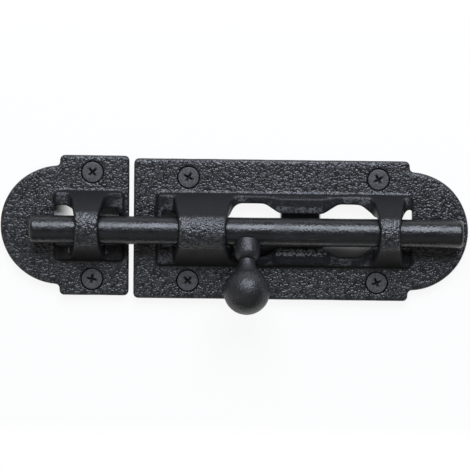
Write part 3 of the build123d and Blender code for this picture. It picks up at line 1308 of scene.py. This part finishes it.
@dataclass(frozen=True)
class SoftBox:
    """Rectangular lamp that faces the latch."""

    name: str
    from_z_deg: float
    heading_deg: float
    distance: float
    width: float
    depth: float
    watts: float
    tint: Triple = WHITE

    def build(self, target: Vector) -> None:
        """Make the lamp.

        Args:
            target: Point that it faces.
        """
        data = bpy.data.lights.new(self.name, "AREA")
        data.shape = "RECTANGLE"
        data.size = self.width
        data.size_y = self.depth
        data.energy = self.watts
        data.color = self.tint
        lamp = new_object(self.name, data)
        tilt, heading = math.radians(self.from_z_deg), math.radians(self.heading_deg)
        way = Vector((math.sin(tilt) * math.cos(heading), math.sin(tilt) * math.sin(heading), math.cos(tilt)))
        lamp.location = target + way * self.distance
        lamp.rotation_euler = way.to_track_quat("Z", "Y").to_euler()
        lamp.visible_camera = False


@dataclass(frozen=True)
class ShadedBox:
    """Part of the paper that shows through a window, painted darker to its tone as shade, and how softly it
    ends.
    """

    left_mm: float
    lower_mm: float
    right_mm: float
    upper_mm: float
    # Colour of the paper inside the box: painted shade.
    tone: float
    blur_mm: float = 1.2

    def corners(self) -> tuple[Vector, Vector]:
        """Lowest and highest corner on the paper.

        Returns:
            Both corners.
        """
        low = Vector((self.left_mm * MM, self.lower_mm * MM, 0.0))
        high = Vector((self.right_mm * MM, self.upper_mm * MM, 0.0))
        return low, high


@dataclass
class Stage:
    """White paper under the latch, three soft lamps and an even surround."""

    paper_size: float = 12.0
    surround: float = 0.09
    glow: float = 0.9
    white: float = 0.93
    far_span: Pair = (6 * MM, 60 * MM)
    shaded: tuple[ShadedBox, ...] = (
        ShadedBox(17, -18, 45, -3, tone=1.0),
        ShadedBox(45, -18, 60, -3, tone=0.6),
        ShadedBox(-25, -18, 17, -3, tone=0.12),
        ShadedBox(-0.4, -3, 15.4, 18, tone=0.12),
        ShadedBox(-57, -18, -42, 18, tone=0.8),
        ShadedBox(-103, -18, -70, 0, tone=0.6),
        ShadedBox(-84, 0, -70, 18, tone=0.6),
        ShadedBox(-103, 0, -97.5, 18, tone=0.93, blur_mm=10),
    )
    lamps: tuple[SoftBox, ...] = (
        SoftBox("key_softbox", 46.0, 84.0, 0.80, width=0.75, depth=0.50, watts=9.5, tint=(0.82, 0.885, 1.0)),
        SoftBox("fill_softbox", 40.0, 270.0, 1.00, width=1.20, depth=0.90, watts=0.8),
        SoftBox("side_softbox", 55.0, 205.0, 0.90, width=0.50, depth=0.50, watts=0.7),
    )

    def build(self, target: Vector) -> None:
        """Make the paper, the lamps and the surround.

        Args:
            target: Point that the lamps face.
        """
        half = self.paper_size / 2
        corners = [(-half, -half, 0), (half, -half, 0), (half, half, 0), (-half, half, 0)]
        mesh = bpy.data.meshes.new("paper")
        mesh.from_pydata(corners, [], [(0, 1, 2, 3)])
        paper = new_object("paper", mesh)
        mesh.materials.append(self._paper())
        for lamp in self.lamps:
            lamp.build(target)
        self._surround()

    @staticmethod
    def seen(s: Sketch) -> Socket:
        """1 for rays that show the background: straight, mirrored or through glass.

        Args:
            s: Sketch of the material.

        Returns:
            The mask's socket.
        """
        path = s.add("ShaderNodeLightPath").outputs
        direct = s.math("MAXIMUM", path["Is Camera Ray"], path["Is Glossy Ray"])
        return s.math("MAXIMUM", direct, path["Is Transmission Ray"])

    @staticmethod
    def past_box(s: Sketch, place: Feed, low: Vector, high: Vector) -> Socket:
        """Distance by which a place on the paper lies past an upright box.

        Args:
            s: Sketch of the material.
            place: Coordinates.
            low: Lowest corner of the box.
            high: Highest corner of the box.

        Returns:
            The distance's socket, 0 inside the box.
        """
        middle, half = (low + high) / 2, (high - low) / 2
        off = s.vector("ABSOLUTE", s.vector("SUBTRACT", place, (middle.x, middle.y, 0.0)))
        past = s.vector("MAXIMUM", s.vector("SUBTRACT", off, (half.x, half.y, 1.0)), (0.0, 0.0, 0.0))
        return s.vector("LENGTH", past)

    def _paper(self) -> Material:
        """White paper: painted shade inside the shaded boxes, mostly even white elsewhere, clear from behind.

        Returns:
            The material.
        """
        material = bpy.data.materials.new("white_paper")
        s = Sketch(blank_tree(material))
        place = s.here()
        clear, tone = 1.0, self.white
        for box in self.shaded:
            past = self.past_box(s, place, *box.corners())
            blur = box.blur_mm * MM
            clear = s.math("MINIMUM", clear, s.ease(past, 0.0, blur))
            # Painted shade: the paper's colour drops to each box's tone.
            tone = s.math("MINIMUM", tone, s.ease(past, 0.0, blur, box.tone, self.white))
        far = s.ease(self.past_box(s, place, *CAD_BOX), *self.far_span)
        white = s.product(s.math("MAXIMUM", s.product(clear, self.glow), far), self.seen(s))
        sheet = s.add("ShaderNodeCombineColor", {"Red": tone, "Green": tone, "Blue": tone}).outputs[0]
        diffuse = s.add("ShaderNodeBsdfDiffuse", {"Color": sheet}).outputs[0]
        glow = s.add("ShaderNodeEmission", {"Color": opaque(WHITE), "Strength": 1.0}).outputs[0]
        front = s.add("ShaderNodeMixShader", {0: white, 1: diffuse, 2: glow}).outputs[0]
        behind = s.add("ShaderNodeNewGeometry").outputs["Backfacing"]
        nothing = s.add("ShaderNodeBsdfTransparent").outputs[0]
        sided = s.add("ShaderNodeMixShader", {0: behind, 1: front, 2: nothing}).outputs[0]
        s.add("ShaderNodeOutputMaterial", {"Surface": sided})
        return material

    def _surround(self) -> None:
        """Even, dim surround that fills the shadows."""
        world = bpy.data.worlds.new("surround")
        s = Sketch(blank_tree(world))
        back = s.add("ShaderNodeBackground", {"Color": opaque(WHITE), "Strength": self.surround})
        s.add("ShaderNodeOutputWorld", {"Surface": back.outputs[0]})
        bpy.context.scene.world = world


def main() -> None:
    """Build the latch piece by piece, then the stage and the camera."""
    logging.basicConfig(level=logging.INFO, format="%(name)s: %(message)s")
    bpy.context.scene.view_settings.view_transform = "Standard"
    effects = Effects()
    skin = CastSkin()
    cast_coat = CastCoat().make(effects)
    bar_coat = SatinCoat("satin_bar_coat").make(effects)
    knob_coat = SatinCoat(
        "satin_knob_coat",
        base=(0.013, 0.013, 0.014),
        stretch=(2.0, 2.0, 2.0),
        bump=0.20 * MM,
        smoothest=0.38,
        roughest=0.50,
        seed=6.0,
    ).make(effects)
    screw_steel = ScrewSteel().make(effects)
    CastPlate("backplate", "backplate_casting", voxel=0.48 * MM, seed=11.0).build(skin, cast_coat)
    CastPlate("keeper", "keeper_casting", voxel=0.4 * MM, seed=14.0).build(skin, cast_coat)
    BoltBar().build(skin, bar_coat)
    KnobSet().build(skin, knob_coat)
    ScrewSet("plate_screws", "backplate_screw_set", (60.0, 30.0, 45.0, 22.0)).build(screw_steel)
    ScrewSet("keeper_screws", "keeper_screw_set", (42.0, 80.0)).build(screw_steel)
    camera = PhotoCamera()
    Stage().build(camera.target)
    camera.build()
    LOG.info("latch dressed")


if __name__ == "__main__":
    main()
